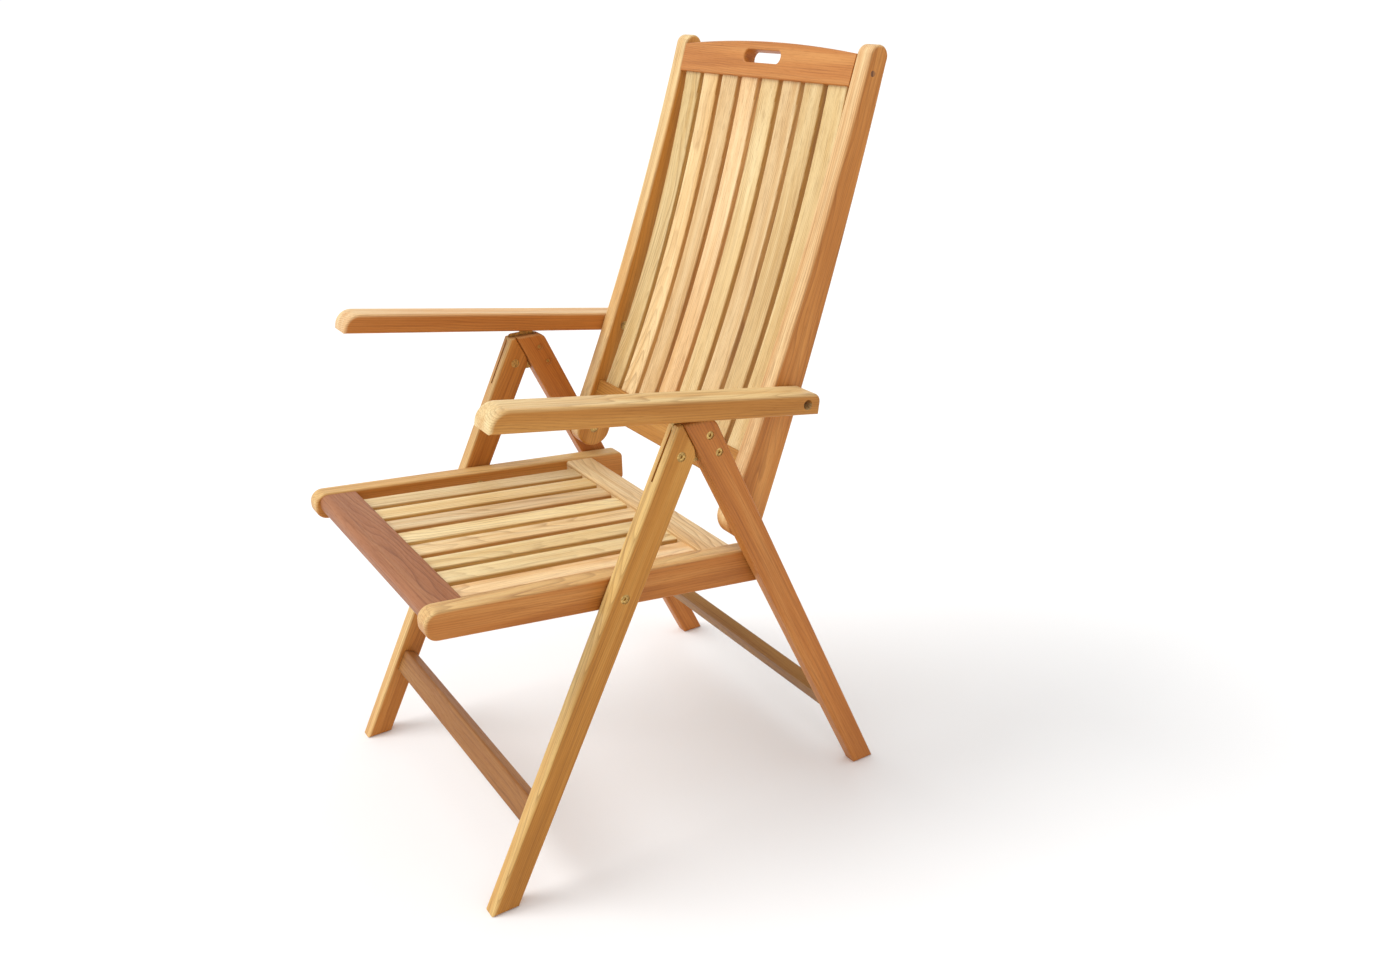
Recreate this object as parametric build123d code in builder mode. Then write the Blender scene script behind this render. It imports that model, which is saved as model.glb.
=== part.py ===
from build123d import *
from math import atan2, cos, degrees, hypot, radians, sin, tan
import os

# Folding, reclining garden armchair in hardwood with brass fittings.
#
# Frame: +Z up, -Y towards the front, +X towards the sitter's left. The origin lies on the
# floor under the middle of the chair. Side profiles are drawn as (y, z) pairs measured from
# the leg hinge's y and the floor's z, and side_plane() puts them in place.

# ---- Driving dimensions: overall (mm, degrees) ----
HINGE_Z = 600.2            # leg hinge above the floor
LEG_TOP_Z = 642.5          # sawn tops of the legs
LEG_INNER_X = 245.0        # inner face of a leg
LEG_THICK = 25.0
RAIL_THICK = 30.0          # seat side rails and backrest stiles
SIDE_GAP = 3.0             # between a leg and a rail or stile
SEAT_FRONT_Y = -358.0      # nose of the seat side rails
EAR_CENTRE = (338.0, 1076.0)
EAR_RADIUS = 15.0

# ---- Fits ----
RUNNING_FIT = 0.06         # radial clearance of a pivot in its bore
CAP_GAP = 0.5              # round a bolt end that turns in its recess
LEG_GAP = 0.6              # between the two legs round their hinge
EASE = 4.0                 # rounding of long timber edges
SMALL_EASE = 2.5

# ---- Legs ----
FRONT_LEAN = 26.75         # front leg, back from vertical
REAR_LEAN = 25.2           # front edge of the rear leg, forward from vertical
LEG_HEAD_RADIUS = 22.5     # front leg, half its width at the hinge
FRONT_FOOT_WIDTH = 36.0
REAR_FOOT_WIDTH = 34.0
REAR_TOP_WIDTH = 44.0
REAR_TOP_ROUND = 18.0

# ---- Stretchers ----
FRONT_STRETCHER_Z = 123.0
REAR_STRETCHER_Z = 120.0
REAR_STRETCHER_FORWARD = 1.0   # in front of the rear leg's middle line
STRETCHER_TALL = 38.0
STRETCHER_THICK = 21.0

# ---- Hinge plates, buried in the legs ----
PLATE_THICK = 3.0
PLATE_SIDE_GAP = 0.4
PLATE_EYE_RADIUS = 15.0
KERF_DEPTH = 44.0          # slot in the front leg, below the hinge
CROWN_RADIUS = 8.0         # ends of the plate's crown, which stands above the leg tops
CROWN_RISE = 5.0
CROWN_ENDS_Y = (3.0, 35.0)
TOOTH_RADIUS = 3.0
TOOTH_RISE = 9.5           # tooth's tip above the leg tops
TOOTH_Y = 20.0
SCREW_RADIUS = 3.0
SCREW_HEAD_RADIUS = 6.0
PLATE_LUG_RADIUS = 9.0
PLATE_SCREWS = ((45.1, 620.5), (59.1, 593.8))

# ---- Cuts ----
CUT_MARGIN = 1.0           # how far a cut or a selection runs past the face it starts from

# ---- Bolts ----
BOLT_RADIUS = 4.0
BOLT_HEAD_RADIUS = 7.0
BOLT_HEAD_THICK = 3.0
BOLT_RECESS = 1.5          # how far a head sits below the timber
SOCKET_RADIUS = 2.5
SOCKET_DEPTH = 2.0
WASHER_RADIUS = 9.0
WASHER_THICK = 2.0

# ---- Seat ----
SEAT_PIVOT = (-93.7, 419.6)
SEAT_TOP_Z = 433.4         # top of the side rails at y = 0
SEAT_SLOPE = -0.0929       # rise per unit of y
SEAT_UNDER_Z = 383.7       # underside of the side rails at y = 0
SEAT_UNDER_SLOPE = -0.119
SEAT_REAR_Y = 172.0
SEAT_NOSE_ROUND = 18.0
SEAT_TAIL_ROUND = 11.0
FRONT_RAIL_SETBACK = 7.0
FRONT_RAIL_DEPTH = 56.0
FRONT_RAIL_THICK = 28.0
FRONT_RAIL_DROP = 2.0
FRONT_RAIL_ROUND = 12.0
REAR_RAIL_Y = 64.0
REAR_RAIL_DEPTH = 49.0
REAR_RAIL_THICK = 26.0
REAR_RAIL_DROP = 3.0
SEAT_SLATS = 8
SEAT_SLAT_PITCH = 50.0
SEAT_SLAT_WIDTH = 38.0
SEAT_SLAT_THICK = 13.0
SEAT_SLAT_DROP = 10.0
GUIDE_PIN = (140.0, 397.0)
GUIDE_PIN_RADIUS = 5.0
GUIDE_PIN_REACH = 9.0      # into the rear leg
GUIDE_SLACK = 3.4          # the pin's play across its groove
FOLD_ANGLE = 51.0
SEAT_RATIO = -1.95         # seat turn per unit of fold

# ---- Backrest ----
BACK_PIVOT = (120.0, 472.0)
BACK_TAIL_RADIUS = 31.0
STILE_FRONT_MID = (226.0, 800.0)
STILE_REAR_MID = (270.0, 800.0)
BACK_BORE_DEPTH = 16.0     # blind bore in the rear leg
CREST_DROP = 43.5          # crest's lower edge below the stile's shoulder
CREST_END_HEIGHT = 42.5
CREST_ARCH = 9.0
CREST_THICK = 22.0
HAND_SLOT = (90.0, 18.0)
HAND_SLOT_UP = 30.0
BOTTOM_RAIL_UP = 34.0
BOTTOM_RAIL_HEIGHT = 50.0
BOTTOM_RAIL_SETBACK = 11.0
BOTTOM_RAIL_THICK = 22.0
BACK_SLATS = 8
BACK_SLAT_PITCH = 52.0
BACK_SLAT_WIDTH = 42.0
BACK_SLAT_THICK = 12.0
BACK_SLAT_INSET = 6.0      # behind the rails' front faces
BACK_SLAT_BOW = 14.0
PLUG_RADIUS = 4.0
PLUG_DEPTH = 8.0
PLUG_UP = 20.0

# ---- Arms ----
ARM_WIDTH = 50.0
ARM_SIDE_GAP = 1.0
ARM_THICK = 29.5
ARM_SLOPE = 8.8            # rise towards the front
ARM_UNDER_Z = 654.0        # underside at y = 0
ARM_PIVOT_Y = 188.0
ARM_TAIL = 22.0            # behind the pivot, along the arm
ARM_REACH = 462.0          # in front of the pivot, along the arm
ARM_NOSE_ROUND = 24.0
ARM_TAIL_ROUND = 12.0
ARM_EASE = 5.0
ARM_BOLT_RECESS = 22.0
ARM_BOLT_HEAD_THICK = 8.0
GROOVE_WIDTH = 8.0         # under the arm, over the hinge plate's crown
GROOVE_DEPTH = 9.0
GROOVE_START = 138.0       # in front of the arm's pivot
GROOVE_END = 312.0
RACK_THICK = 4.5
RACK_NOTCHES = 7
RACK_FIRST_NOTCH = 170.0
RACK_PITCH = 19.0
RACK_NOTCH_RADIUS = 3.2

# ---- Values worked out from those above ----
RAIL_OUTER_X = LEG_INNER_X - SIDE_GAP
RAIL_INNER_X = RAIL_OUTER_X - RAIL_THICK
LEG_OUTER_X = LEG_INNER_X + LEG_THICK
ARM_INNER_X = RAIL_OUTER_X + ARM_SIDE_GAP
ARM_OUTER_X = ARM_INNER_X + ARM_WIDTH
PLATE_X = LEG_INNER_X + (LEG_THICK - PLATE_THICK) / 2
HINGE = (0.0, HINGE_Z)
HINGE_Y = -(SEAT_FRONT_Y + EAR_CENTRE[0] + EAR_RADIUS) / 2
SIDES = (("left", 1), ("right", -1))

os.makedirs("parts", exist_ok=True)


def side_plane(x):
    """Plane of a side profile at x, drawn as (y, z)."""
    return Plane(origin=(x, HINGE_Y, 0), x_dir=(0, 1, 0), z_dir=(1, 0, 0))


def polar(centre, radius, angle):
    """Point at a radius and an angle in degrees, measured from rearward towards up."""
    y = centre[0] + radius * cos(radians(angle))
    z = centre[1] + radius * sin(radians(angle))
    return (y, z)


def turned(point, centre, angle):
    """A point turned about a centre, rearward towards up."""
    reach = hypot(point[0] - centre[0], point[1] - centre[1])
    start = degrees(atan2(point[1] - centre[1], point[0] - centre[0]))
    return polar(centre, reach, start + angle)


def cylinder(centre, radius, x_from, x_to, mode=Mode.ADD):
    """A round bar, or with Mode.SUBTRACT a bore, between two x values."""
    with BuildSketch(side_plane(x_from)) as disc:
        with Locations(centre):
            Circle(radius)
    extrude(disc.sketch, amount=x_to - x_from, mode=mode)


def ease_sides(piece, radius):
    """Round the outline's edges on the two side faces of a piece."""
    fillet(piece.faces().filter_by(Axis.X).edges(), radius=radius)


def save(piece, name):
    piece.part.label = name
    export_step(piece.part, f"parts/{name}.step")


def through_bolt(side, centre, x_out, x_in, head_thick=BOLT_HEAD_THICK):
    """A bolt with a socket head at x_out and a cap at x_in."""
    head_in = x_out - head_thick
    cap_out = x_in + BOLT_HEAD_THICK
    cylinder(centre, BOLT_RADIUS, side * cap_out, side * head_in)
    cylinder(centre, BOLT_HEAD_RADIUS, side * head_in, side * x_out)
    cylinder(centre, BOLT_HEAD_RADIUS, side * x_in, side * cap_out)
    cylinder(centre, SOCKET_RADIUS, side * (x_out - SOCKET_DEPTH), side * x_out, Mode.SUBTRACT)


# ---- Front legs ----
front_along = (sin(radians(FRONT_LEAN)), cos(radians(FRONT_LEAN)))
rear_along = (-sin(radians(REAR_LEAN)), cos(radians(REAR_LEAN)))


def on_leg(along, distance, offset):
    """Point at a distance up a leg from the hinge, offset to its rear."""
    y = along[0] * distance + along[1] * offset
    z = HINGE_Z + along[1] * distance - along[0] * offset
    return (y, z)


def at_height(along, offset, z):
    """Point at height z on the line parallel to a leg, offset to its rear."""
    start = on_leg(along, 0, offset)
    return (start[0] + (z - start[1]) * along[0] / along[1], z)


def front_leg_outline():
    foot_y = -HINGE_Z * tan(radians(FRONT_LEAN))
    half_foot = FRONT_FOOT_WIDTH / 2 / cos(radians(FRONT_LEAN))
    shoulder = polar(HINGE, LEG_HEAD_RADIUS, -FRONT_LEAN)
    head_mid = polar(HINGE, LEG_HEAD_RADIUS, (REAR_LEAN - FRONT_LEAN) / 2)
    head_top = polar(HINGE, LEG_HEAD_RADIUS, REAR_LEAN)
    top_rear = at_height(rear_along, LEG_HEAD_RADIUS, LEG_TOP_Z)
    top_front = at_height(front_along, -LEG_HEAD_RADIUS, LEG_TOP_Z)
    Polyline(top_front, (foot_y - half_foot, 0), (foot_y + half_foot, 0), shoulder)
    ThreePointArc(shoulder, head_mid, head_top)
    Polyline(head_top, top_rear, top_front)


kerf_x = PLATE_X - PLATE_SIDE_GAP
kerf_width = PLATE_THICK + 2 * PLATE_SIDE_GAP

for name, side in SIDES:
    with BuildPart() as front_leg:
        with BuildSketch(side_plane(side * LEG_INNER_X)):
            with BuildLine():
                front_leg_outline()
            make_face()
        extrude(amount=side * LEG_THICK)
        ease_sides(front_leg, EASE)
        with BuildSketch(side_plane(side * kerf_x)):
            Polygon(
                on_leg(front_along, -KERF_DEPTH, -2 * LEG_HEAD_RADIUS),
                on_leg(front_along, -KERF_DEPTH, 2 * LEG_HEAD_RADIUS),
                on_leg(front_along, 2 * KERF_DEPTH, 2 * LEG_HEAD_RADIUS),
                on_leg(front_along, 2 * KERF_DEPTH, -2 * LEG_HEAD_RADIUS),
                align=None,
            )
        extrude(amount=side * kerf_width, mode=Mode.SUBTRACT)
        recess_out = side * (LEG_OUTER_X - BOLT_RECESS - BOLT_HEAD_THICK)
        recess_in = side * (LEG_INNER_X + BOLT_RECESS + BOLT_HEAD_THICK)
        for pivot in (HINGE, SEAT_PIVOT):
            cylinder(pivot, BOLT_RADIUS, side * LEG_INNER_X, side * LEG_OUTER_X, Mode.SUBTRACT)
            cylinder(pivot, BOLT_HEAD_RADIUS, recess_out, side * LEG_OUTER_X, Mode.SUBTRACT)
        cylinder(HINGE, BOLT_HEAD_RADIUS, side * LEG_INNER_X, recess_in, Mode.SUBTRACT)
    save(front_leg, f"front_leg_{name}")

with BuildPart() as leg_pivot_bolts:
    for name, side in SIDES:
        through_bolt(side, HINGE, LEG_OUTER_X - BOLT_RECESS, LEG_INNER_X + BOLT_RECESS)
save(leg_pivot_bolts, "leg_pivot_bolts")

with BuildPart() as seat_pivot_bolts:
    for name, side in SIDES:
        through_bolt(side, SEAT_PIVOT, LEG_OUTER_X - BOLT_RECESS, RAIL_INNER_X + BOLT_RECESS)
save(seat_pivot_bolts, "seat_pivot_bolts")

with BuildPart() as seat_pivot_washers:
    for name, side in SIDES:
        washer_in = side * (LEG_INNER_X - WASHER_THICK)
        cylinder(SEAT_PIVOT, WASHER_RADIUS, side * LEG_INNER_X, washer_in)
        cylinder(SEAT_PIVOT, BOLT_RADIUS, side * LEG_INNER_X, washer_in, Mode.SUBTRACT)
save(seat_pivot_washers, "seat_pivot_washers")

# ---- Rear legs, with the hinge plates screwed into them ----
rear_front_offset = LEG_HEAD_RADIUS + LEG_GAP
rear_foot_front = at_height(rear_along, rear_front_offset, 0)
rear_top_front = at_height(rear_along, rear_front_offset, LEG_TOP_Z)
rear_foot_rear = (rear_foot_front[0] + REAR_FOOT_WIDTH / cos(radians(REAR_LEAN)), 0)
rear_top_rear = (rear_top_front[0] + REAR_TOP_WIDTH / cos(radians(REAR_LEAN)), LEG_TOP_Z)


def hinge_plate_profile():
    with Locations(HINGE):
        Circle(PLATE_EYE_RADIUS)
    with Locations(*PLATE_SCREWS):
        Circle(PLATE_LUG_RADIUS)
    for crown_y in CROWN_ENDS_Y:
        with Locations((crown_y, LEG_TOP_Z + CROWN_RISE - CROWN_RADIUS)):
            Circle(CROWN_RADIUS)
    make_hull()
    tooth_z = LEG_TOP_Z + TOOTH_RISE - TOOTH_RADIUS
    with Locations((TOOTH_Y, tooth_z)):
        Circle(TOOTH_RADIUS)
    with Locations((TOOTH_Y, tooth_z - TOOTH_RADIUS)):
        Rectangle(2 * TOOTH_RADIUS, 2 * TOOTH_RADIUS)


def guide_path(steps=24):
    """Places that the seat's guide pin takes as the chair folds."""
    places = []
    for step in range(steps + 1):
        fold = FOLD_ANGLE * step / steps
        pivot = turned(SEAT_PIVOT, HINGE, fold)
        reach = (GUIDE_PIN[0] - SEAT_PIVOT[0], GUIDE_PIN[1] - SEAT_PIVOT[1])
        carried = (pivot[0] + reach[0], pivot[1] + reach[1])
        places.append(turned(carried, pivot, fold * (1 + SEAT_RATIO)))
    return places


def guide_groove(side):
    """Blind groove in the rear leg's inner face, a little wider than the pin's path."""
    path = guide_path()
    start = path[0]
    end = path[-1]
    length = hypot(end[0] - start[0], end[1] - start[1])
    tilt = degrees(atan2(end[1] - start[1], end[0] - start[0]))
    middle = ((start[0] + end[0]) / 2, (start[1] + end[1]) / 2)
    with BuildSketch(side_plane(side * LEG_INNER_X)) as groove:
        with Locations(Location(middle, tilt)):
            SlotCenterToCenter(length, 2 * (GUIDE_PIN_RADIUS + GUIDE_SLACK))
    depth = GUIDE_PIN_REACH + CAP_GAP
    extrude(groove.sketch, amount=side * depth, mode=Mode.SUBTRACT)


for name, side in SIDES:
    with BuildPart() as hinge_plate:
        with BuildSketch(side_plane(side * PLATE_X)):
            hinge_plate_profile()
        extrude(amount=side * PLATE_THICK)
        plate_out = side * (PLATE_X + PLATE_THICK)
        cylinder(HINGE, BOLT_RADIUS + RUNNING_FIT, side * PLATE_X, plate_out, Mode.SUBTRACT)
        for screw in PLATE_SCREWS:
            cylinder(screw, SCREW_RADIUS, side * PLATE_X, plate_out, Mode.SUBTRACT)
    save(hinge_plate, f"hinge_plate_{name}")

    with BuildPart() as rear_leg:
        with BuildSketch(side_plane(side * LEG_INNER_X)) as outline:
            Polygon(rear_foot_front, rear_foot_rear, rear_top_rear, rear_top_front, align=None)
            corner = outline.vertices().sort_by(Axis.Y)[-2:].sort_by(Axis.X)[-1]
            fillet(corner, radius=REAR_TOP_ROUND)
        extrude(amount=side * LEG_THICK)
        ease_sides(rear_leg, EASE)
        with BuildSketch(side_plane(side * PLATE_X)):
            hinge_plate_profile()
        extrude(amount=side * PLATE_THICK, mode=Mode.SUBTRACT)
        for screw in PLATE_SCREWS:
            head_in = side * (LEG_OUTER_X - BOLT_RECESS - BOLT_HEAD_THICK)
            tail_out = side * (LEG_INNER_X + BOLT_RECESS)
            cylinder(screw, SCREW_RADIUS, side * LEG_INNER_X, side * LEG_OUTER_X, Mode.SUBTRACT)
            cylinder(screw, SCREW_HEAD_RADIUS, head_in, side * LEG_OUTER_X, Mode.SUBTRACT)
            cylinder(screw, SCREW_HEAD_RADIUS, side * LEG_INNER_X, tail_out, Mode.SUBTRACT)
        blind = side * (LEG_INNER_X + BACK_BORE_DEPTH + CAP_GAP)
        cylinder(BACK_PIVOT, BOLT_RADIUS, side * LEG_INNER_X, blind, Mode.SUBTRACT)
        guide_groove(side)
    save(rear_leg, f"rear_leg_{name}")

with BuildPart() as hinge_plate_screws:
    for name, side in SIDES:
        head_out = LEG_OUTER_X - BOLT_RECESS
        head_in = head_out - BOLT_HEAD_THICK
        for screw in PLATE_SCREWS:
            cylinder(screw, SCREW_RADIUS, side * (LEG_INNER_X + BOLT_RECESS), side * head_in)
            cylinder(screw, SCREW_HEAD_RADIUS, side * head_in, side * head_out)
            socket_in = side * (head_out - SOCKET_DEPTH)
            cylinder(screw, SOCKET_RADIUS, socket_in, side * head_out, Mode.SUBTRACT)
save(hinge_plate_screws, "hinge_plate_screws")


# ---- Stretchers between the legs ----
def stretcher(centre, lean, name):
    """A flat bar between the legs' inner faces, its height along the leg."""
    plane = side_plane(-LEG_INNER_X)
    with BuildPart() as bar:
        with BuildSketch(plane):
            with Locations(Location(centre, -lean)):
                RectangleRounded(STRETCHER_THICK, STRETCHER_TALL, EASE)
        extrude(amount=2 * LEG_INNER_X)
    save(bar, name)


front_stretcher_at = at_height(front_along, 0, FRONT_STRETCHER_Z)
rear_centre_offset = rear_front_offset + (REAR_FOOT_WIDTH + REAR_TOP_WIDTH) / 4 - REAR_STRETCHER_FORWARD
rear_stretcher_at = at_height(rear_along, rear_centre_offset, REAR_STRETCHER_Z)
stretcher(front_stretcher_at, FRONT_LEAN, "front_stretcher")
stretcher(rear_stretcher_at, -REAR_LEAN, "rear_stretcher")


# ---- Seat ----
def seat_top(y, drop=0.0):
    return (y, SEAT_TOP_Z + SEAT_SLOPE * y - drop)


def seat_under(y):
    return (y, SEAT_UNDER_Z + SEAT_UNDER_SLOPE * y)


def seat_bar(x, y_from, y_to, drop, thick, width):
    """A bar laid along the seat's surface from y_from to y_to, extruded along X."""
    with BuildSketch(side_plane(x)) as bar:
        Polygon(
            seat_top(y_from, drop),
            seat_top(y_to, drop),
            seat_top(y_to, drop + thick),
            seat_top(y_from, drop + thick),
            align=None,
        )
    extrude(bar.sketch, amount=width)


for name, side in SIDES:
    with BuildPart() as seat_rail:
        with BuildSketch(side_plane(side * RAIL_INNER_X)) as outline:
            Polygon(
                seat_top(SEAT_FRONT_Y),
                seat_under(SEAT_FRONT_Y),
                seat_under(SEAT_REAR_Y),
                seat_top(SEAT_REAR_Y),
                align=None,
            )
            ends = outline.vertices().sort_by(Axis.X)
            fillet(ends[:2], radius=SEAT_NOSE_ROUND)
            fillet(outline.vertices().sort_by(Axis.X)[-2:], radius=SEAT_TAIL_ROUND)
        extrude(amount=side * RAIL_THICK)
        ease_sides(seat_rail, EASE)
        pivot_bore = BOLT_RADIUS + RUNNING_FIT
        cap_bore = BOLT_HEAD_RADIUS + CAP_GAP
        cap_in = side * (RAIL_INNER_X + BOLT_RECESS + BOLT_HEAD_THICK + CAP_GAP)
        rail_in = side * RAIL_INNER_X
        rail_out = side * RAIL_OUTER_X
        cylinder(SEAT_PIVOT, pivot_bore, rail_in, rail_out, Mode.SUBTRACT)
        cylinder(SEAT_PIVOT, cap_bore, rail_in, cap_in, Mode.SUBTRACT)
        pin_in = side * (RAIL_OUTER_X - RAIL_THICK / 2)
        cylinder(GUIDE_PIN, GUIDE_PIN_RADIUS, pin_in, rail_out, Mode.SUBTRACT)
    save(seat_rail, f"seat_rail_{name}")

with BuildPart() as seat_guide_pins:
    for name, side in SIDES:
        pin_in = side * (RAIL_OUTER_X - RAIL_THICK / 2)
        cylinder(GUIDE_PIN, GUIDE_PIN_RADIUS, pin_in, side * (LEG_INNER_X + GUIDE_PIN_REACH))
save(seat_guide_pins, "seat_guide_pins")

front_rail_y = SEAT_FRONT_Y + FRONT_RAIL_SETBACK
front_rail_rear = front_rail_y + FRONT_RAIL_DEPTH
with BuildPart() as seat_front_rail:
    seat_bar(-RAIL_INNER_X, front_rail_y, front_rail_rear, FRONT_RAIL_DROP,
             FRONT_RAIL_THICK, 2 * RAIL_INNER_X)
    nose = seat_front_rail.edges().filter_by(Axis.X).group_by(Axis.Y)[0]
    fillet(nose, radius=FRONT_RAIL_ROUND)
    tail = seat_front_rail.edges().filter_by(Axis.X).group_by(Axis.Y)[-1]
    fillet(tail, radius=SMALL_EASE)
save(seat_front_rail, "seat_front_rail")

with BuildPart() as seat_rear_rail:
    seat_bar(-RAIL_INNER_X, REAR_RAIL_Y, REAR_RAIL_Y + REAR_RAIL_DEPTH, REAR_RAIL_DROP,
             REAR_RAIL_THICK, 2 * RAIL_INNER_X)
    fillet(seat_rear_rail.edges().filter_by(Axis.X), radius=EASE)
save(seat_rear_rail, "seat_rear_rail")

for number in range(SEAT_SLATS):
    slat_x = (number - (SEAT_SLATS - 1) / 2) * SEAT_SLAT_PITCH
    with BuildPart() as seat_slat:
        seat_bar(slat_x - SEAT_SLAT_WIDTH / 2, front_rail_rear, REAR_RAIL_Y, SEAT_SLAT_DROP,
                 SEAT_SLAT_THICK, SEAT_SLAT_WIDTH)
        long_edges = seat_slat.edges().filter_by_position(
            Axis.Y, front_rail_rear + HINGE_Y + CUT_MARGIN, REAR_RAIL_Y + HINGE_Y - CUT_MARGIN
        )
        fillet(long_edges, radius=SMALL_EASE)
    save(seat_slat, f"seat_slat_{number + 1}")

# ---- Backrest ----
# The stiles' front edge is an arc that leaves the round tail and meets the round ear.
tail_tilt = degrees(atan2(STILE_FRONT_MID[0] - BACK_PIVOT[0] + BACK_TAIL_RADIUS,
                          STILE_FRONT_MID[1] - BACK_PIVOT[1]))
ear_tilt = degrees(atan2(EAR_CENTRE[0] - EAR_RADIUS - STILE_FRONT_MID[0],
                         EAR_CENTRE[1] - STILE_FRONT_MID[1]))
tail_front = polar(BACK_PIVOT, BACK_TAIL_RADIUS, 180 - tail_tilt)
tail_rear = polar(BACK_PIVOT, BACK_TAIL_RADIUS, -tail_tilt)
tail_low = polar(BACK_PIVOT, BACK_TAIL_RADIUS, -90 - tail_tilt)
ear_front = polar(EAR_CENTRE, EAR_RADIUS, 180 - ear_tilt)
ear_rear = polar(EAR_CENTRE, EAR_RADIUS, -ear_tilt)
ear_top = polar(EAR_CENTRE, EAR_RADIUS, 90 - ear_tilt)
arm_rise = tan(radians(ARM_SLOPE))
arm_pivot_z = ARM_UNDER_Z - ARM_PIVOT_Y * arm_rise + ARM_THICK / 2 / cos(radians(ARM_SLOPE))
ARM_PIVOT = (ARM_PIVOT_Y, arm_pivot_z)

with BuildLine(mode=Mode.PRIVATE) as stile_front:
    ThreePointArc(tail_front, STILE_FRONT_MID, ear_front)
front_edge = stile_front.line.edges()[0]


def behind_edge(distance, inset):
    """Point (y, z) at a distance along the stiles' front edge, set back by inset."""
    share = distance / front_edge.length
    place = front_edge.position_at(share)
    way = front_edge.tangent_at(share)
    return (place.X + way.Y * inset, place.Y - way.X * inset)


def back_plane(distance, inset):
    """Plane of the backrest's face at a distance along the stiles' front edge."""
    place = behind_edge(distance, inset)
    way = front_edge.tangent_at(distance / front_edge.length)
    origin = (0, place[0] + HINGE_Y, place[1])
    return Plane(origin=origin, x_dir=(1, 0, 0), z_dir=(0, -way.Y, way.X))


CREST_AT = front_edge.length - CREST_DROP

for name, side in SIDES:
    with BuildPart() as back_stile:
        with BuildSketch(side_plane(side * RAIL_INNER_X)):
            with BuildLine():
                ThreePointArc(tail_front, STILE_FRONT_MID, ear_front)
                ThreePointArc(ear_front, ear_top, ear_rear)
                ThreePointArc(ear_rear, STILE_REAR_MID, tail_rear)
                ThreePointArc(tail_rear, tail_low, tail_front)
            make_face()
        extrude(amount=side * RAIL_THICK)
        ease_sides(back_stile, EASE)
        rail_in = side * RAIL_INNER_X
        rail_out = side * RAIL_OUTER_X
        cap_in = side * (RAIL_INNER_X + BOLT_RECESS + BOLT_HEAD_THICK + CAP_GAP)
        for pivot in (BACK_PIVOT, ARM_PIVOT):
            cylinder(pivot, BOLT_RADIUS + RUNNING_FIT, rail_in, rail_out, Mode.SUBTRACT)
            cylinder(pivot, BOLT_HEAD_RADIUS + CAP_GAP, rail_in, cap_in, Mode.SUBTRACT)
        plug_at = behind_edge(CREST_AT + PLUG_UP, CREST_THICK / 2)
        plug_in = side * (RAIL_OUTER_X - PLUG_DEPTH)
        cylinder(plug_at, PLUG_RADIUS, plug_in, rail_out, Mode.SUBTRACT)
    save(back_stile, f"back_stile_{name}")

with BuildPart() as crest_plugs:
    for name, side in SIDES:
        plug_at = behind_edge(CREST_AT + PLUG_UP, CREST_THICK / 2)
        cylinder(plug_at, PLUG_RADIUS, side * (RAIL_OUTER_X - PLUG_DEPTH), side * RAIL_OUTER_X)
save(crest_plugs, "crest_plugs")

with BuildPart() as back_crest_rail:
    with BuildSketch(back_plane(CREST_AT, 0)):
        with BuildLine():
            Polyline((-RAIL_INNER_X, CREST_END_HEIGHT), (-RAIL_INNER_X, 0), (RAIL_INNER_X, 0),
                     (RAIL_INNER_X, CREST_END_HEIGHT))
            ThreePointArc((RAIL_INNER_X, CREST_END_HEIGHT), (0, CREST_END_HEIGHT + CREST_ARCH),
                          (-RAIL_INNER_X, CREST_END_HEIGHT))
        make_face()
        with Locations((0, HAND_SLOT_UP)):
            SlotOverall(*HAND_SLOT, mode=Mode.SUBTRACT)
    extrude(amount=-CREST_THICK)
    inner_span = RAIL_INNER_X - CUT_MARGIN
    crest_long = back_crest_rail.edges().filter_by_position(Axis.X, -inner_span, inner_span)
    fillet(crest_long, radius=SMALL_EASE)
save(back_crest_rail, "back_crest_rail")

with BuildPart() as back_bottom_rail:
    with BuildSketch(back_plane(BOTTOM_RAIL_UP, BOTTOM_RAIL_SETBACK)):
        Rectangle(2 * RAIL_INNER_X, BOTTOM_RAIL_HEIGHT, align=(Align.CENTER, Align.MIN))
    extrude(amount=-BOTTOM_RAIL_THICK)
    fillet(back_bottom_rail.edges().filter_by(Axis.X), radius=SMALL_EASE)
save(back_bottom_rail, "back_bottom_rail")


def on_plane(plane, up, back):
    """Point (y, z) on a backrest plane, up along it and back behind it."""
    place = plane.from_local_coords((0, up, -back))
    return (place.Y - HINGE_Y, place.Z)


slat_foot_plane = back_plane(BOTTOM_RAIL_UP, BOTTOM_RAIL_SETBACK)
slat_head_plane = back_plane(CREST_AT, 0)
slat_foot_front = on_plane(slat_foot_plane, BOTTOM_RAIL_HEIGHT, BACK_SLAT_INSET)
slat_foot_rear = on_plane(slat_foot_plane, BOTTOM_RAIL_HEIGHT, BACK_SLAT_INSET + BACK_SLAT_THICK)
slat_head_front = on_plane(slat_head_plane, 0, BACK_SLAT_INSET)
slat_head_rear = on_plane(slat_head_plane, 0, BACK_SLAT_INSET + BACK_SLAT_THICK)


def bowed_mid(low, high):
    """Middle of a slat's face, pushed back by the bow."""
    length = hypot(high[0] - low[0], high[1] - low[1])
    across = ((high[1] - low[1]) / length, (low[0] - high[0]) / length)
    y = (low[0] + high[0]) / 2 + across[0] * BACK_SLAT_BOW
    z = (low[1] + high[1]) / 2 + across[1] * BACK_SLAT_BOW
    return (y, z)


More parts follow.
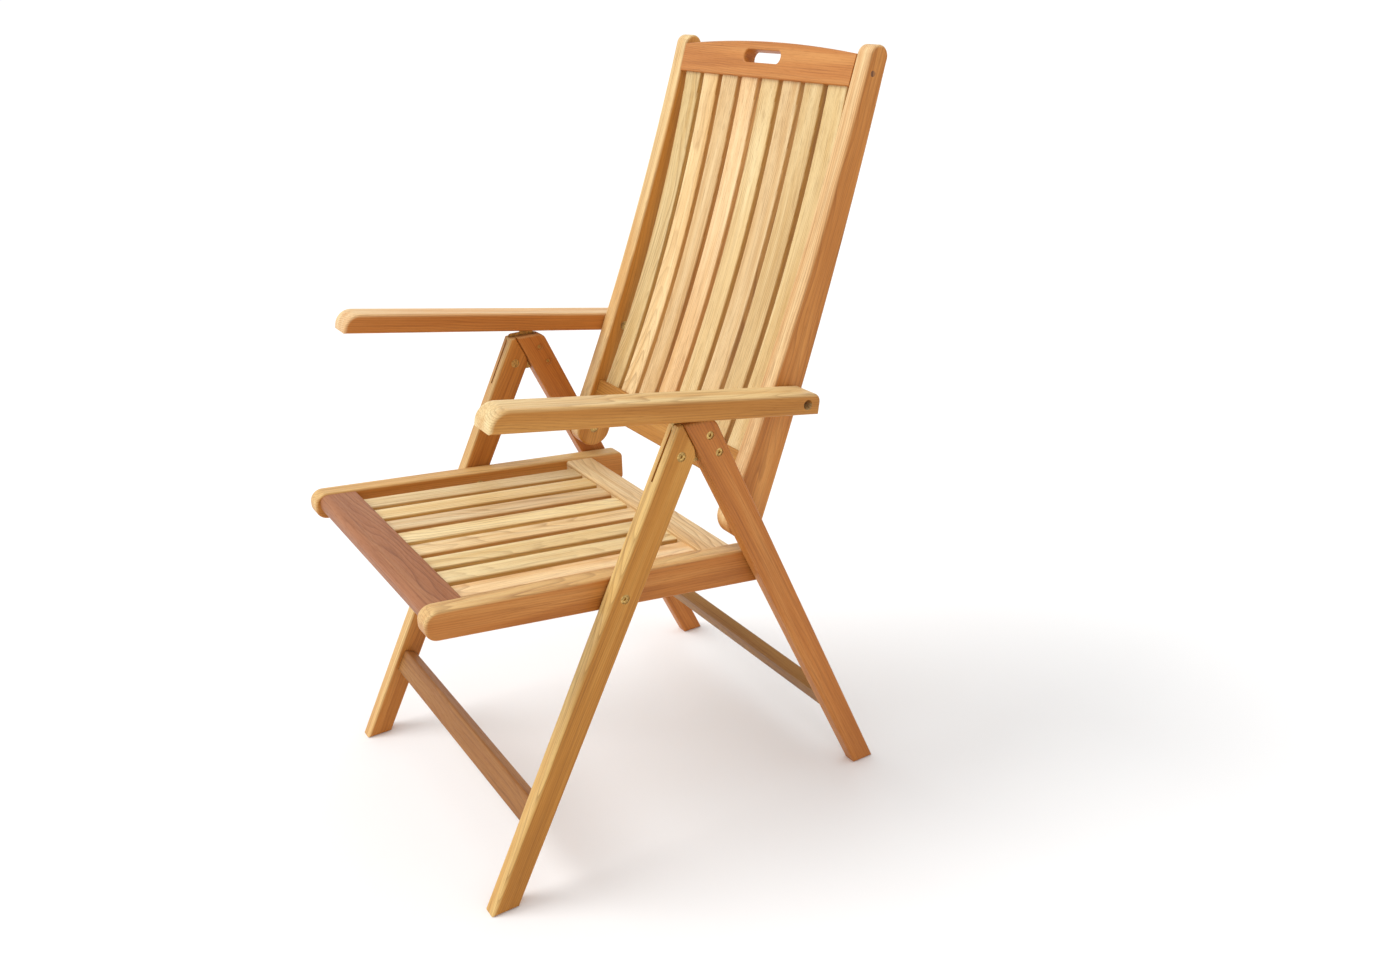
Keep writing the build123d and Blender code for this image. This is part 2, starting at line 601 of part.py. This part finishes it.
for number in range(BACK_SLATS):
    slat_x = (number - (BACK_SLATS - 1) / 2) * BACK_SLAT_PITCH
    with BuildPart() as back_slat:
        with BuildSketch(side_plane(slat_x - BACK_SLAT_WIDTH / 2)):
            with BuildLine():
                ThreePointArc(slat_foot_front, bowed_mid(slat_foot_front, slat_head_front),
                              slat_head_front)
                Line(slat_head_front, slat_head_rear)
                ThreePointArc(slat_head_rear, bowed_mid(slat_foot_rear, slat_head_rear),
                              slat_foot_rear)
                Line(slat_foot_rear, slat_foot_front)
            make_face()
        extrude(amount=BACK_SLAT_WIDTH)
        fillet(back_slat.edges().filter_by(GeomType.CIRCLE), radius=SMALL_EASE)
    save(back_slat, f"back_slat_{number + 1}")

with BuildPart() as back_pivot_bolts:
    for name, side in SIDES:
        bolt_end = side * (LEG_INNER_X + BACK_BORE_DEPTH)
        cap_in = side * (RAIL_INNER_X + BOLT_RECESS)
        cap_out = side * (RAIL_INNER_X + BOLT_RECESS + BOLT_HEAD_THICK)
        cylinder(BACK_PIVOT, BOLT_RADIUS, cap_out, bolt_end)
        cylinder(BACK_PIVOT, BOLT_HEAD_RADIUS, cap_in, cap_out)
        washer_in = side * (LEG_INNER_X - WASHER_THICK)
        cylinder(BACK_PIVOT, WASHER_RADIUS, washer_in, side * LEG_INNER_X)
save(back_pivot_bolts, "back_pivot_bolts")


# ---- Arms, drawn along their own slope from the arm pivot ----
def on_arm(forward, up):
    """Point (y, z) forward of the arm's pivot along the arm and up across it."""
    slope = radians(ARM_SLOPE)
    y = ARM_PIVOT[0] - forward * cos(slope) + up * sin(slope)
    z = ARM_PIVOT[1] + forward * sin(slope) + up * cos(slope)
    return (y, z)


def along_arm(start, end, low, high):
    """A rectangle in the arm's side view, from start to end in front of the pivot."""
    corners = (on_arm(start, low), on_arm(start, high), on_arm(end, high), on_arm(end, low))
    Polygon(*corners, align=None)


half_arm = ARM_THICK / 2
groove_x = LEG_INNER_X + (LEG_THICK - GROOVE_WIDTH) / 2
groove_top = GROOVE_DEPTH - half_arm
rack_low = groove_top - RACK_THICK
for name, side in SIDES:
    with BuildPart() as arm:
        with BuildSketch(side_plane(side * ARM_INNER_X)) as outline:
            along_arm(-ARM_TAIL, ARM_REACH, -half_arm, half_arm)
            nose_top = outline.vertices().sort_by(Axis.X)[:2].sort_by(Axis.Y)[-1]
            fillet(nose_top, radius=ARM_NOSE_ROUND)
            tail_top = outline.vertices().sort_by(Axis.X)[-2:].sort_by(Axis.Y)[-1]
            fillet(tail_top, radius=ARM_TAIL_ROUND)
        extrude(amount=side * ARM_WIDTH)
        ease_sides(arm, ARM_EASE)
        with BuildSketch(side_plane(side * groove_x)):
            along_arm(GROOVE_START, GROOVE_END, -half_arm - CUT_MARGIN, groove_top)
        extrude(amount=side * GROOVE_WIDTH, mode=Mode.SUBTRACT)
        arm_in = side * ARM_INNER_X
        arm_out = side * ARM_OUTER_X
        recess_in = side * (ARM_OUTER_X - ARM_BOLT_RECESS - ARM_BOLT_HEAD_THICK)
        cylinder(ARM_PIVOT, BOLT_RADIUS, arm_in, arm_out, Mode.SUBTRACT)
        cylinder(ARM_PIVOT, BOLT_HEAD_RADIUS, recess_in, arm_out, Mode.SUBTRACT)
    save(arm, f"arm_{name}")

    with BuildPart() as arm_bolt:
        through_bolt(side, ARM_PIVOT, ARM_OUTER_X - ARM_BOLT_RECESS,
                     RAIL_INNER_X + BOLT_RECESS, ARM_BOLT_HEAD_THICK)
    save(arm_bolt, f"arm_bolt_{name}")

    with BuildPart() as arm_rack:
        with BuildSketch(side_plane(side * groove_x)):
            along_arm(GROOVE_START, GROOVE_END, rack_low, groove_top)
            for notch in range(RACK_NOTCHES):
                forward = RACK_FIRST_NOTCH + notch * RACK_PITCH
                with Locations(on_arm(forward, rack_low)):
                    Circle(RACK_NOTCH_RADIUS, mode=Mode.SUBTRACT)
        extrude(amount=side * GROOVE_WIDTH)
    save(arm_rack, f"arm_rack_{name}")
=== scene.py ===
# %% [markdown]
# # A folding, reclining garden armchair
# The chair's timber and brass pieces arrive ready-made, at their real size in metres, each one
# on the body that it moves with. What is left to do here is to look at each piece as a maker
# would: which way its grain runs, how its board was sawn, and how its surface was finished.

# %% Load the pieces
import bpy
import math
from mathutils import Matrix, Vector


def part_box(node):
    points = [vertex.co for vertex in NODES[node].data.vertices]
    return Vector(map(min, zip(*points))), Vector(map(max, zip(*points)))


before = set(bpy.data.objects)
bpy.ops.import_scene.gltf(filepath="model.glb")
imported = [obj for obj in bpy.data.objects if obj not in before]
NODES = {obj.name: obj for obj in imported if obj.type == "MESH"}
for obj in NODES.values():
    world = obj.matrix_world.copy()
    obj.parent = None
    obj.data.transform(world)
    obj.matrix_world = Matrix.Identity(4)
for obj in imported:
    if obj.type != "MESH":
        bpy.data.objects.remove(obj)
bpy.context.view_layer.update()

# %% [markdown]
# ## The camera
# A chair is best seen from a little above and to one side, so that its seat, one arm and the
# folding legs all show. The camera is placed by where it stands, which way it looks and how
# much it is rolled, and it comes first because it needs nothing from the materials.

# %% Place the camera
CAMERA_AT = Vector((1.5446, -0.7691, 1.1851))
LOOK_BACK = Vector((0.7828, -0.4906, 0.3830)).normalized()
CAMERA_ROLL = math.radians(-1.394)
SENSOR_MM = 36.0
LENS_MM = 31.58


def add_camera():
    forward = -LOOK_BACK
    right = forward.cross(Vector((0, 0, 1))).normalized()
    up = right.cross(forward)
    rolled_right = math.cos(CAMERA_ROLL) * right + math.sin(CAMERA_ROLL) * up
    rolled_up = -math.sin(CAMERA_ROLL) * right + math.cos(CAMERA_ROLL) * up
    data = bpy.data.cameras.new("chair_camera")
    data.sensor_width = SENSOR_MM
    data.lens = LENS_MM
    camera = bpy.data.objects.new("chair_camera", data)
    turn = Matrix((rolled_right, rolled_up, LOOK_BACK)).transposed().to_4x4()
    camera.matrix_world = Matrix.Translation(CAMERA_AT) @ turn
    bpy.context.scene.collection.objects.link(camera)
    bpy.context.scene.camera = camera
    return camera


camera = add_camera()
print("camera stands", round(CAMERA_AT.length, 3), "m from the middle of the chair's footprint")

# %% [markdown]
# ## Two helpers for materials
# A material is a small graph of nodes. One helper adds a node, sets what it is given and joins
# its inputs. The other turns a colour given in sRGB to the linear light values that the
# renderer works in.

# %% Node and colour helpers
MM = 0.001


def linear(hex_colour):
    """An sRGB hex colour such as C98B4B as linear RGBA."""
    channels = []
    for start in (0, 2, 4):
        value = int(hex_colour[start:start + 2], 16) / 255
        channels.append(value / 12.92 if value <= 0.04045 else ((value + 0.055) / 1.055) ** 2.4)
    return (*channels, 1.0)


def grey(value):
    return (value, value, value, 1.0)


def add(tree, kind, settings=None, stops=(), **inputs):
    """Adds a node, sets its properties and colour stops, and sets or links its inputs.

    An input is given by name, with _ for a space, or by number, as in i0 for the first.
    """
    node = tree.nodes.new("ShaderNode" + kind)
    for key, value in (settings or {}).items():
        setattr(node, key, value)
    for number, (place, colour) in enumerate(stops):
        elements = node.color_ramp.elements
        element = elements[number] if number < len(elements) else elements.new(place)
        element.position = place
        element.color = colour
    for key, value in inputs.items():
        socket = node.inputs[int(key[1:]) if key[1:].isdigit() else key.replace("_", " ")]
        if isinstance(value, bpy.types.NodeSocket):
            tree.links.new(value, socket)
        else:
            socket.default_value = value
    return node


print("teak mid tone, linear:", [round(c, 3) for c in linear("BB772F")])

# %% [markdown]
# ## Teak
# The chair is teak: a golden brown, straight-grained hardwood, planed, sanded fine and lightly
# oiled. Its colour changes at four scales. Boards differ from each other. Along one board there
# are broad pale and warm bands, about 20 mm wide, where fast and slow growth alternate. Growth
# rings show as lines 3 to 6 mm apart, straight on a quarter-sawn face and arched on a flat-sawn
# one. The pores are fine dark dashes along the grain. Real rings are cylinders round the tree's
# middle, so the rings here are cylinders too, round a line that lies some way outside the board
# and nearly along it. That gives matching lines on all four faces of a piece, which a flat
# pattern can't do.
#
# The pattern is made in a frame whose X runs along the grain. Each family of pieces has its own
# grain direction, so each gets its own copy of the material, turned to suit. A random number for
# each object moves the pattern, so that no two boards come from the same place in the tree.
#
# The faces turned up and forward are painted paler, in a straw tone that is a painted highlight
# for the light and sheen falling on them from above and in front. The sides keep the brown, so
# the direction that each face points in mixes the two.

# %% Teak: sizes of the grain
RING_MM = 3.4              # one growth ring
BAND_MM = 22.0             # a pale or warm band across the board
BAND_LONG_MM = 460.0       # the same band along the board
STREAK_MM = 1.8            # a dark streak across the board
STREAK_LONG_MM = 170.0
PORE_MM = 0.9              # drawn coarser than the real 0.3 mm, so that it shows
PORE_LONG_MM = 16.0
BOARD_SPREAD_M = 3.0       # how far apart along the tree two boards may come from
BOARD_SHIFT_M = 0.05       # and across it
PATCH_MM = 30.0            # a stretch of board where the rings show
PATCH_LONG_MM = 300.0
WANDER_MM = 55.0           # rings wander over this width and length
WANDER_LONG_MM = 260.0
WANDER_BY_M = 0.022
HEART_OFF_MM = 95.0        # from the board to the middle of the tree
HEART_LEAN = 0.035         # the tree's middle isn't quite along the board
RING_DEPTH = 0.55          # how dark each mark is at its darkest
STREAK_DEPTH = 0.6
PORE_DEPTH = 0.3
ALIKE = 0.06               # how much brighter or darker boards may be, where they match
MIXED = 0.12               # and where they were picked as they came
HUE_SHUFFLE = 0.137        # makes a board's hue change apart from its brightness
GRAIN_RELIEF_MM = 0.25     # pores and streaks are sunk this far
REDDEST_HUE = 0.492        # a hue of 0.5 leaves a board as it is
YELLOWEST_HUE = 0.508
TEAK_ROUGH = 0.46          # sanded fine, then oiled
BETWEEN_PORES = 0.06       # smoother there by this much
IN_PORES = 0.14            # rougher there by this much
TEAK_IOR = 1.47            # oil on wood
TEAK_SHINE = 0.32          # the oil has sunk in, so it shines less than a varnish would
PAINTED_LIGHT_FROM = (0.0, -0.55, 0.83)   # the faces turned this way get the most painted highlight


def grain_frame(tree, along):
    """Object coordinates turned so that X runs along the grain, moved at random per board."""
    coordinates = add(tree, "TexCoord").outputs["Object"]
    x_axis = Vector(along).normalized()
    side = Vector((0, 0, 1)) if abs(x_axis.z) < 0.9 else Vector((0, 1, 0))
    y_axis = side.cross(x_axis).normalized()
    turned = add(tree, "CombineXYZ")
    for socket, axis in zip(turned.inputs, (x_axis, y_axis, x_axis.cross(y_axis))):
        dot = add(tree, "VectorMath", {"operation": "DOT_PRODUCT"}, i0=coordinates, i1=tuple(axis))
        tree.links.new(dot.outputs["Value"], socket)
    chance = add(tree, "ObjectInfo").outputs["Random"]
    scatter = add(tree, "TexWhiteNoise", {"noise_dimensions": "1D"}, W=chance)
    moved = add(tree, "VectorMath", {"operation": "MULTIPLY_ADD"}, i0=scatter.outputs["Color"],
                i1=(BOARD_SPREAD_M, BOARD_SHIFT_M, BOARD_SHIFT_M), i2=turned.outputs[0])
    return moved.outputs[0], chance


def stretched(tree, place, long_mm, across_mm):
    """Coordinates in which one unit is a pattern's length along the grain and width across."""
    scale = (1 / (long_mm * MM), 1 / (across_mm * MM), 1 / (across_mm * MM))
    return add(tree, "VectorMath", {"operation": "MULTIPLY"}, i0=place, i1=scale).outputs[0]


print("pores drawn", PORE_MM, "mm wide")

# %% [markdown]
# ## Growth rings
# Each ring starts pale and soft and ends in a thin dark line. A wave texture would give straight
# stripes on every face. Measuring how far each point is from the tree's middle, and keeping only
# the fraction of a ring that is left over, gives lines that bend round the edges of a board. A
# little noise is added first, because no tree grows in perfect circles.

# %% Growth rings
def growth_rings(tree, place):
    """0 to 1 across each ring, round a line beside the board and nearly along it."""
    wander = add(tree, "TexNoise", Vector=stretched(tree, place, WANDER_LONG_MM, WANDER_MM),
                 Scale=1.0, Detail=2.0)
    shift = add(tree, "VectorMath", {"operation": "MULTIPLY_ADD"}, i0=wander.outputs["Color"],
                i1=(0, WANDER_BY_M, WANDER_BY_M), i2=place).outputs[0]
    heart = add(tree, "VectorMath", {"operation": "ADD"}, i0=shift, i1=(0, HEART_OFF_MM * MM, 0))
    split = add(tree, "SeparateXYZ", i0=heart.outputs[0]).outputs
    leaning = add(tree, "Math", {"operation": "MULTIPLY_ADD"}, i0=split[0], i1=HEART_LEAN,
                  i2=split[2]).outputs[0]
    across = add(tree, "CombineXYZ", i1=split[1], i2=leaning).outputs[0]
    radius = add(tree, "VectorMath", {"operation": "LENGTH"}, i0=across).outputs["Value"]
    count = add(tree, "Math", {"operation": "DIVIDE"}, i0=radius, i1=RING_MM * MM).outputs[0]
    return add(tree, "Math", {"operation": "FRACT"}, i0=count).outputs[0]


print("rings across a 45 mm board:", round(45 / RING_MM))

# %% [markdown]
# ## Brown teak with a painted highlight
# The direction that a face points in is known at every point of the surface, so its dot product
# with the direction of the light says how much painted highlight the face gets.

# %% Broad bands, with a painted highlight where faces turn toward the light
def bands_with_painted_highlight(tree, place, tones, painted_highlight):
    """Broad bands of brown, painted paler on the faces turned toward the light: a painted
    highlight.
    """
    bands = add(tree, "TexNoise", Vector=stretched(tree, place, BAND_LONG_MM, BAND_MM),
                Scale=1.0, Detail=3.0, Roughness=0.55, Distortion=0.3).outputs["Fac"]
    brown = add(tree, "ValToRGB", i0=bands, stops=(
        (0.30, linear(tones["pale"])), (0.50, linear(tones["mid"])),
        (0.72, linear(tones["warm"])))).outputs[0]
    # The paler ramp is a painted highlight, mixed in on the faces turned toward the light.
    highlit_tone = add(tree, "ValToRGB", i0=bands, stops=(
        (0.25, linear(tones["highlit_tone"])), (0.85, linear(tones["pale"])))).outputs[0]
    outward = add(tree, "TexCoord").outputs["Normal"]
    toward_light = add(tree, "VectorMath", {"operation": "DOT_PRODUCT"}, i0=outward, i1=PAINTED_LIGHT_FROM)
    highlight_amount = add(tree, "ValToRGB", i0=toward_light.outputs["Value"],
                  stops=((0.05, grey(0.0)), (0.75, grey(painted_highlight)))).outputs[0]
    return add(tree, "Mix", {"data_type": "RGBA"}, i0=highlight_amount, i6=brown, i7=highlit_tone).outputs[2]


# The faces pointing this way get the most painted highlight.
print("bleached most where a face points along", PAINTED_LIGHT_FROM)

# %% [markdown]
# ## Marks in the wood
# Three marks lie over the bands, each finer than the last: the dark late wood at the end of a
# ring, long streaks, and pores. Each is a depth from 0 to 1 that mixes in the board's dark tone.

# %% Rings, streaks and pores
def with_rings(tree, place, base, tone):
    """A base colour with the dark ends of the rings mixed in."""
    late_wood = add(tree, "ValToRGB", i0=growth_rings(tree, place), stops=(
        (0.0, grey(0.0)), (0.62, grey(0.25)), (0.92, grey(1.0)), (1.0, grey(0.0)))).outputs[0]
    patch = add(tree, "TexNoise", Vector=stretched(tree, place, PATCH_LONG_MM, PATCH_MM),
                Scale=1.0, Detail=1.0).outputs["Fac"]
    patch_depth = add(tree, "ValToRGB", i0=patch,
                      stops=((0.35, grey(0.10)), (0.70, grey(RING_DEPTH)))).outputs[0]
    depth = add(tree, "Math", {"operation": "MULTIPLY"}, i0=late_wood, i1=patch_depth).outputs[0]
    return add(tree, "Mix", {"data_type": "RGBA"}, i0=depth, i6=base, i7=tone).outputs[2]


def with_streaks(tree, place, base, tone):
    """The streaked colour, and the streaks for the relief."""
    streaks = add(tree, "TexNoise", Vector=stretched(tree, place, STREAK_LONG_MM, STREAK_MM),
                  Scale=1.0, Detail=4.0, Roughness=0.6).outputs["Fac"]
    depth = add(tree, "ValToRGB", i0=streaks, stops=(
        (0.50, grey(0.0)), (0.66, grey(0.36)), (0.80, grey(STREAK_DEPTH)))).outputs[0]
    mixed = add(tree, "Mix", {"data_type": "RGBA"}, i0=depth, i6=base, i7=tone)
    return mixed.outputs[2], streaks


def with_pores(tree, place, base, tone):
    """The pored colour, the pores for the gloss, and their depth for the relief."""
    pores = add(tree, "TexNoise", Vector=stretched(tree, place, PORE_LONG_MM, PORE_MM),
                Scale=1.0, Detail=2.0, Roughness=0.6).outputs["Fac"]
    depth = add(tree, "ValToRGB", i0=pores,
                stops=((0.56, grey(0.0)), (0.74, grey(PORE_DEPTH)))).outputs[0]
    mixed = add(tree, "Mix", {"data_type": "RGBA"}, i0=depth, i6=base, i7=tone)
    return mixed.outputs[2], pores, depth


print("depths of rings, streaks and pores:", RING_DEPTH, STREAK_DEPTH, PORE_DEPTH)

# %% [markdown]
# ## The finished teak
# No two boards match, so each one is made a little brighter or darker, and a little redder or
# yellower, by its own random number. Pores scatter light, so the wood is rougher in them, and
# they are sunk below the sanded surface.

# %% Planed and oiled teak
def board_tone(tree, chance, colour, board_change):
    """A colour made brighter or darker, and redder or yellower, by the board's own number."""
    brighter = add(tree, "MapRange", Value=chance, To_Min=1 - board_change,
                   To_Max=1 + board_change).outputs[0]
    shuffled = add(tree, "Math", {"operation": "PINGPONG"}, i0=chance, i1=HUE_SHUFFLE).outputs[0]
    hue = add(tree, "MapRange", Value=shuffled, From_Max=HUE_SHUFFLE, To_Min=REDDEST_HUE,
              To_Max=YELLOWEST_HUE).outputs[0]
    return add(tree, "HueSaturation", i0=hue, i2=brighter, Color=colour).outputs[0]


def planed_teak(name, along, tones, painted_highlight, board_change=ALIKE):
    """Planed, oiled teak with its grain along a direction, painted paler where it faces the light:
    a painted highlight.
    """
    material = bpy.data.materials.new(name)
    material.use_nodes = True
    tree = material.node_tree
    shader = tree.nodes["Principled BSDF"]
    dark = linear(tones["dark"])
    place, chance = grain_frame(tree, along)
    colour = bands_with_painted_highlight(tree, place, tones, painted_highlight)
    colour = with_rings(tree, place, colour, dark)
    colour, streaks = with_streaks(tree, place, colour, dark)
    colour, pores, pore_depth = with_pores(tree, place, colour, dark)
    colour = board_tone(tree, chance, colour, board_change)
    tree.links.new(colour, shader.inputs["Base Color"])

    gloss = add(tree, "MapRange", Value=pores, From_Min=0.35, From_Max=0.75,
                To_Min=TEAK_ROUGH - BETWEEN_PORES, To_Max=TEAK_ROUGH + IN_PORES).outputs[0]
    tree.links.new(gloss, shader.inputs["Roughness"])
    height = add(tree, "Math", {"operation": "SUBTRACT"}, i0=streaks, i1=pore_depth).outputs[0]
    bump = add(tree, "Bump", Height=height, Strength=0.35, Distance=GRAIN_RELIEF_MM * MM)
    tree.links.new(bump.outputs[0], shader.inputs["Normal"])
    shader.inputs["IOR"].default_value = TEAK_IOR
    shader.inputs["Specular IOR Level"].default_value = TEAK_SHINE
    return material


print("teak roughness", TEAK_ROUGH, "IOR", TEAK_IOR)

# %% [markdown]
# ## Which way each piece's grain runs
# A joiner always lays the grain along the length of a piece, because wood is strong that way.
# The legs lean, the backrest leans back, the arms rise to the front, and the rails and
# stretchers run from side to side.

# %% Grain directions, worked out from the pieces' own shapes
def long_way(node):
    """Unit direction of a slim piece, from the middle of one end to the middle of the other."""
    low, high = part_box(node)
    points = [v.co for v in NODES[node].data.vertices]
    axis = max(range(3), key=lambda i: high[i] - low[i])
    margin = 0.06 * (high[axis] - low[axis])
    ends = []
    for test in (lambda p: p[axis] < low[axis] + margin, lambda p: p[axis] > high[axis] - margin):
        near = [p for p in points if test(p)]
        middle = [(min(p[i] for p in near) + max(p[i] for p in near)) / 2 for i in range(3)]
        ends.append(Vector(middle))
    return (ends[1] - ends[0]).normalized()


ALONG = {
    "front_leg": long_way("front_leg_left"),
    "rear_leg": long_way("rear_leg_left"),
    "seat": long_way("seat_rail_left"),
    "back": long_way("back_stile_left"),
    "arm": long_way("arm_left"),
    "across": Vector((1, 0, 0)),
}
for part_name, way in ALONG.items():
    print(part_name, [round(c, 3) for c in way])

# %% [markdown]
# ## Boards of different tones
# A chair is made from several boards. The seat and back slats are the palest and the seat's front
# rail is the reddest. The stretchers stay in the shade under the seat, so they get darker tones, a
# painted shade, and little painted highlight.

# %% Teak for each family of pieces
GOLD = {"pale": "C98A42", "mid": "BB772F", "warm": "A86520", "dark": "7C4513", "highlit_tone": "ECD090"}
HONEY = {"pale": "D6A862", "mid": "C6924C", "warm": "B07A36", "dark": "8C5A28", "highlit_tone": "F8E4B4"}
AMBER = {"pale": "D0914A", "mid": "C27E38", "warm": "B06C28", "dark": "824A18", "highlit_tone": "F6E0AC"}
REDDISH = {"pale": "AA7448", "mid": "9A6036", "warm": "885026", "dark": "663616",
           "highlit_tone": "A87C54"}
# Darker tones for the stretchers: painted shade, where the seat shades them.
SHADED = {"pale": "A8783E", "mid": "98662E", "warm": "865420", "dark": "643C14",
          "highlit_tone": "A07C46"}

# The number after each set of tones is how much painted highlight the faces turned toward the
# light get.
TEAK = {
    "front_leg": planed_teak("planed_teak_front_legs", ALONG["front_leg"], GOLD, 0.8),
    "rear_leg": planed_teak("planed_teak_rear_legs", ALONG["rear_leg"], GOLD, 0.6),
    "stretcher": planed_teak("planed_teak_stretchers", ALONG["across"], SHADED, 0.3),
    "seat_rail": planed_teak("planed_teak_seat_rails", ALONG["seat"], GOLD, 0.9),
    "seat_slat": planed_teak("planed_teak_seat_slats", ALONG["seat"], HONEY, 1.0, MIXED),
    "seat_front": planed_teak("planed_teak_seat_front", ALONG["across"], REDDISH, 0.5),
    "seat_rear": planed_teak("planed_teak_seat_rear", ALONG["across"], HONEY, 0.9),
    "back_stile": planed_teak("planed_teak_back_stiles", ALONG["back"], AMBER, 0.8),
    "back_slat": planed_teak("planed_teak_back_slats", ALONG["back"], HONEY, 0.75, MIXED),
    "back_rail": planed_teak("planed_teak_back_rails", ALONG["across"], GOLD, 0.12),
    "arm": planed_teak("planed_teak_arms", ALONG["arm"], AMBER, 1.0),
}
print("teak materials:", len(TEAK))

# %% [markdown]
# ## Brass
# The bolts, screws, washers and hinge plates are brass that has been outdoors: a brown
# film has dulled it, and it is brightest where hands and tools rub it. Brass is a metal, so its
# colour is the colour of its reflections, and the film shows as patches of rougher, darker metal.

# %% Aged brass
TARNISH_MM = 3.0


def aged_brass():
    material = bpy.data.materials.new("aged_brass")
    material.use_nodes = True
    tree = material.node_tree
    shader = tree.nodes["Principled BSDF"]
    coordinates = add(tree, "TexCoord").outputs["Object"]
    film = add(tree, "TexNoise", Vector=coordinates, Scale=1 / (TARNISH_MM * MM),
               Detail=3.0, Roughness=0.6).outputs["Fac"]
    colour = add(tree, "ValToRGB", i0=film, stops=(
        (0.35, linear("D6B06A")), (0.6, linear("A88650")), (0.8, linear("6B5334")))).outputs[0]
    tree.links.new(colour, shader.inputs["Base Color"])
    rough = add(tree, "MapRange", Value=film, From_Min=0.35, From_Max=0.8, To_Min=0.28,
                To_Max=0.55).outputs[0]
    tree.links.new(rough, shader.inputs["Roughness"])
    bump = add(tree, "Bump", Height=film, Strength=0.15, Distance=0.1 * MM)
    tree.links.new(bump.outputs[0], shader.inputs["Normal"])
    shader.inputs["Metallic"].default_value = 1.0
    return material


BRASS = aged_brass()
print("brass film patches", TARNISH_MM, "mm across")

# %% [markdown]
# ## End grain
# The plugs beside the crest rail show their end grain, which drinks oil and turns dark.

# %% End-grain plug
END_RING_MM = 7.54             # one pale and one dark band, about as wide as a plug
WAVE_RADIANS = 20              # what a wave texture of scale 1 turns through in a metre
END_RING_SCALE = 2 * math.pi / (END_RING_MM * MM * WAVE_RADIANS)


def end_grain():
    material = bpy.data.materials.new("teak_end_grain")
    material.use_nodes = True
    tree = material.node_tree
    shader = tree.nodes["Principled BSDF"]
    coordinates = add(tree, "TexCoord").outputs["Object"]
    rings = add(tree, "TexWave", {"bands_direction": "Y"}, Vector=coordinates,
                Scale=END_RING_SCALE, Distortion=2.0, Detail=2.0).outputs["Fac"]
    colour = add(tree, "ValToRGB", i0=rings,
                 stops=((0.2, linear("9A6534")), (0.8, linear("6A3F1C")))).outputs[0]
    tree.links.new(colour, shader.inputs["Base Color"])
    bump = add(tree, "Bump", Height=rings, Strength=0.3, Distance=0.2 * MM)
    tree.links.new(bump.outputs[0], shader.inputs["Normal"])
    shader.inputs["Roughness"].default_value = 0.6
    shader.inputs["IOR"].default_value = TEAK_IOR
    return material


END_GRAIN = end_grain()
print("end-grain wave scale", round(END_RING_SCALE, 2))

# %% [markdown]
# ## Dressing the pieces
# Each piece's name says what it is, so the first word that fits picks its material.

# %% Give every piece its material
FITTINGS = ("bolt", "screw", "washer", "plate", "pins", "arm_rack")


def finish_of(node):
    if any(word in node for word in FITTINGS):
        return BRASS
    if node == "crest_plugs":
        return END_GRAIN
    if node == "seat_front_rail":
        return TEAK["seat_front"]
    if node == "seat_rear_rail":
        return TEAK["seat_rear"]
    if node in ("back_crest_rail", "back_bottom_rail"):
        return TEAK["back_rail"]
    if "stretcher" in node:
        return TEAK["stretcher"]
    family = node.rsplit("_", 1)[0]
    return TEAK[family]


for node_name, piece in NODES.items():
    for material_slot in piece.material_slots:
        material_slot.material = finish_of(node_name)
print("dressed", len(NODES), "pieces")

# %% [markdown]
# ## Floor and light
# The chair stands in a pale studio: a white floor that runs back to a white wall of light. A
# soft sun from the front left and above lights the tops and fronts, leaves the sides in the
# gentler light of the sky and floor, and puts a soft shadow under each foot.

# %% Floor
FLOOR_HALF_M = 14.0


def add_floor():
    mesh = bpy.data.meshes.new("studio_floor")
    half = FLOOR_HALF_M
    mesh.from_pydata([(-half, -half, 0), (half, -half, 0), (half, half, 0), (-half, half, 0)],
                     [], [(0, 1, 2, 3)])
    floor = bpy.data.objects.new("studio_floor", mesh)
    floor.location.z = -0.3 * MM
    bpy.context.scene.collection.objects.link(floor)
    material = bpy.data.materials.new("white_floor_paint")
    material.use_nodes = True
    shader = material.node_tree.nodes["Principled BSDF"]
    shader.inputs["Base Color"].default_value = linear("F6F6F6")
    shader.inputs["Roughness"].default_value = 0.75
    mesh.materials.append(material)
    return floor


floor = add_floor()
print("floor reaches", FLOOR_HALF_M, "m each way")

# %% Light
SKY_STRENGTH = 0.9
BACKDROP_STRENGTH = 1.05       # what the camera sees behind the chair
SUN_STRENGTH = 1.5
SUN_ANGLE_DEG = 36.0           # a wide soft source, so that shadows have blurred edges
SUN_STANDS = (-0.35, -0.6, 0.75)


def add_sun():
    data = bpy.data.lights.new("soft_sun", "SUN")
    data.energy = SUN_STRENGTH
    data.angle = math.radians(SUN_ANGLE_DEG)
    lamp = bpy.data.objects.new("soft_sun", data)
    lamp.rotation_euler = Vector(SUN_STANDS).to_track_quat("Z", "Y").to_euler()
    bpy.context.scene.collection.objects.link(lamp)


def add_sky():
    world = bpy.data.worlds.new("studio")
    world.use_nodes = True
    tree = world.node_tree
    seen = add(tree, "LightPath").outputs["Is Camera Ray"]
    strength = add(tree, "MapRange", Value=seen, To_Min=SKY_STRENGTH,
                   To_Max=BACKDROP_STRENGTH).outputs[0]
    background = tree.nodes["Background"]
    background.inputs["Color"].default_value = (1, 1, 1, 1)
    tree.links.new(strength, background.inputs["Strength"])
    bpy.context.scene.world = world


add_sky()
add_sun()
bpy.context.scene.view_settings.view_transform = "Standard"
print("sun from", SUN_STANDS)
